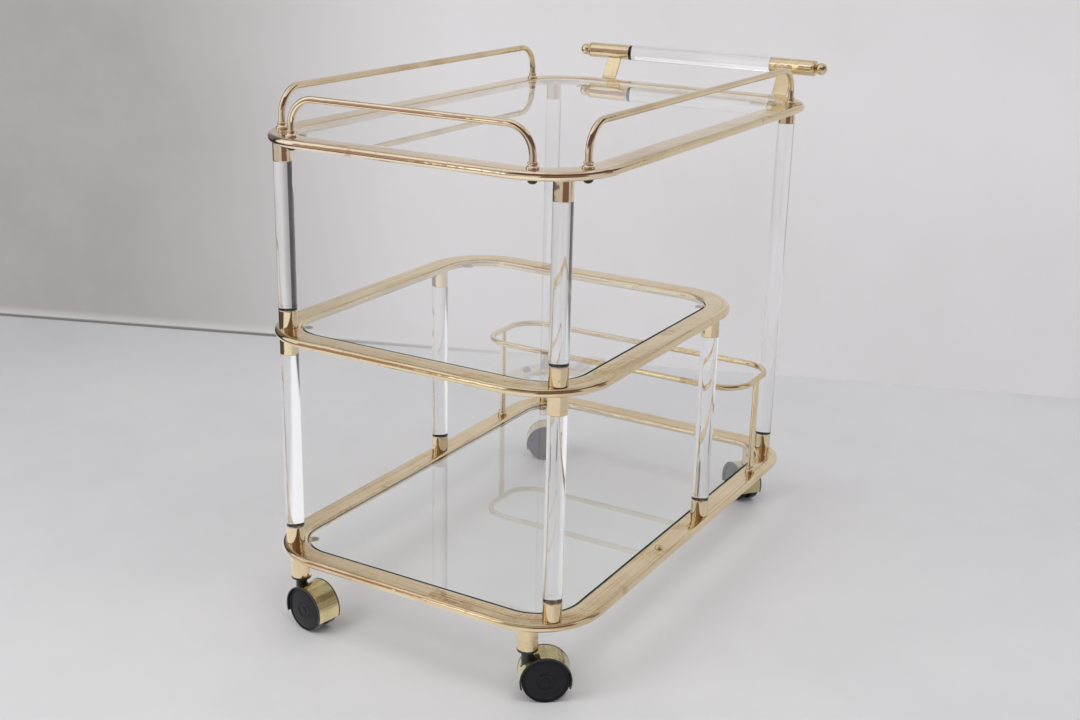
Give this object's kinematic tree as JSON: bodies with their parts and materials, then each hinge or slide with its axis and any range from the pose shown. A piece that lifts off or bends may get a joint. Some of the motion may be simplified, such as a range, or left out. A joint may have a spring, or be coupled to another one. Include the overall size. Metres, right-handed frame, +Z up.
{
  "type": "dessert trolley",
  "caption": "Brass serving trolley with glass shelves on clear posts, gallery rails, a push handle, a bottle ring and hooded swivel casters.",
  "frame": {"origin": "on the floor, under the middle of the trolley's box", "axes": "+X points to the push handle at the rear end, +Y to the side without the dome stud, +Z is up"},
  "size_m": [0.8696, 0.496, 0.7385],
  "materials": {
    "brass": "polished",
    "hood_brass": "satin",
    "acrylic": "clear polished",
    "shelf_glass": "clear",
    "caster_black": "satin",
    "caster_wheel": "satin",
    "pad_rubber": "matte",
    "steel": "plain",
    "dark_nut": "satin"
  },
  "bodies": {
    "trolley": {"top_frame": "brass", "middle_frame": "brass", "bottom_frame": "brass", "top_glass": "shelf_glass", "middle_glass": "shelf_glass", "bottom_glass": "shelf_glass", "shelf_tabs": "brass", "shelf_pads": "pad_rubber", "front_left_upper_post": "acrylic", "front_right_upper_post": "acrylic", "front_left_lower_post": "acrylic", "front_right_lower_post": "acrylic", "middle_left_post": "acrylic", "middle_right_post": "acrylic", "rear_left_post": "acrylic", "rear_right_post": "acrylic", "post_ferrules": "brass", "post_studs": "steel", "front_rail": "brass", "left_rail": "brass", "right_rail": "brass", "rail_collars": "brass", "cap_nuts": "dark_nut", "handle_rod": "acrylic", "handle_sleeves": "brass", "handle_finials": "brass", "handle_brackets": "brass", "bracket_screws": "steel", "rack_ring": "brass", "rack_uprights": "brass", "rack_collars": "brass", "dome_stud": "brass", "caster_sockets": "brass", "caster_bushes": "caster_black"},
    "front_left_swivel": {"front_left_stem": "steel", "front_left_yoke": "caster_black", "front_left_hood": "hood_brass", "front_left_axle": "steel"},
    "front_left_wheel_a": {"front_left_wheel_a": "caster_wheel"},
    "front_left_wheel_b": {"front_left_wheel_b": "caster_wheel"},
    "front_right_swivel": {"front_right_stem": "steel", "front_right_yoke": "caster_black", "front_right_hood": "hood_brass", "front_right_axle": "steel"},
    "front_right_wheel_a": {"front_right_wheel_a": "caster_wheel"},
    "front_right_wheel_b": {"front_right_wheel_b": "caster_wheel"},
    "rear_left_swivel": {"rear_left_stem": "steel", "rear_left_yoke": "caster_black", "rear_left_hood": "hood_brass", "rear_left_axle": "steel"},
    "rear_left_wheel_a": {"rear_left_wheel_a": "caster_wheel"},
    "rear_left_wheel_b": {"rear_left_wheel_b": "caster_wheel"},
    "rear_right_swivel": {"rear_right_stem": "steel", "rear_right_yoke": "caster_black", "rear_right_hood": "hood_brass", "rear_right_axle": "steel"},
    "rear_right_wheel_a": {"rear_right_wheel_a": "caster_wheel"},
    "rear_right_wheel_b": {"rear_right_wheel_b": "caster_wheel"}
  },
  "joints": [
    {"name": "front_left_swivel_turn", "type": "hinge", "parent": "trolley", "child": "front_left_swivel", "pos_m": [-0.41007, -0.18059, 0.084], "axis": [0, 0, 1], "continuous": true},
    {"name": "front_left_wheel_a_roll", "type": "hinge", "parent": "front_left_swivel", "child": "front_left_wheel_a", "pos_m": [-0.40589, -0.20574, 0.031], "axis": [0.8192, 0.5736, 0], "continuous": true},
    {"name": "front_left_wheel_b_roll", "type": "hinge", "parent": "front_left_swivel", "child": "front_left_wheel_b", "pos_m": [-0.38787, -0.19312, 0.031], "axis": [0.8192, 0.5736, 0], "continuous": true},
    {"name": "front_right_swivel_turn", "type": "hinge", "parent": "trolley", "child": "front_right_swivel", "pos_m": [-0.40721, 0.18687, 0.084], "axis": [0, 0, 1], "continuous": true},
    {"name": "front_right_wheel_a_roll", "type": "hinge", "parent": "front_right_swivel", "child": "front_right_wheel_a", "pos_m": [-0.42204, 0.16612, 0.031], "axis": [0.9848, -0.1736, 0], "continuous": true},
    {"name": "front_right_wheel_b_roll", "type": "hinge", "parent": "front_right_swivel", "child": "front_right_wheel_b", "pos_m": [-0.40038, 0.16231, 0.031], "axis": [0.9848, -0.1736, 0], "continuous": true},
    {"name": "rear_left_swivel_turn", "type": "hinge", "parent": "trolley", "child": "rear_left_swivel", "pos_m": [0.31642, -0.18059, 0.084], "axis": [0, 0, 1], "continuous": true},
    {"name": "rear_left_wheel_a_roll", "type": "hinge", "parent": "rear_left_swivel", "child": "rear_left_wheel_a", "pos_m": [0.33925, -0.16924, 0.031], "axis": [-0.788, 0.6157, 0], "continuous": true},
    {"name": "rear_left_wheel_b_roll", "type": "hinge", "parent": "rear_left_swivel", "child": "rear_left_wheel_b", "pos_m": [0.32192, -0.1557, 0.031], "axis": [-0.788, 0.6157, 0], "continuous": true},
    {"name": "rear_right_swivel_turn", "type": "hinge", "parent": "trolley", "child": "rear_right_swivel", "pos_m": [0.31356, 0.18687, 0.084], "axis": [0, 0, 1], "continuous": true},
    {"name": "rear_right_wheel_a_roll", "type": "hinge", "parent": "rear_right_swivel", "child": "rear_right_wheel_a", "pos_m": [0.31159, 0.21228, 0.031], "axis": [-0.866, -0.5, 0], "continuous": true},
    {"name": "rear_right_wheel_b_roll", "type": "hinge", "parent": "rear_right_swivel", "child": "rear_right_wheel_b", "pos_m": [0.29254, 0.20128, 0.031], "axis": [-0.866, -0.5, 0], "continuous": true}
  ]
}
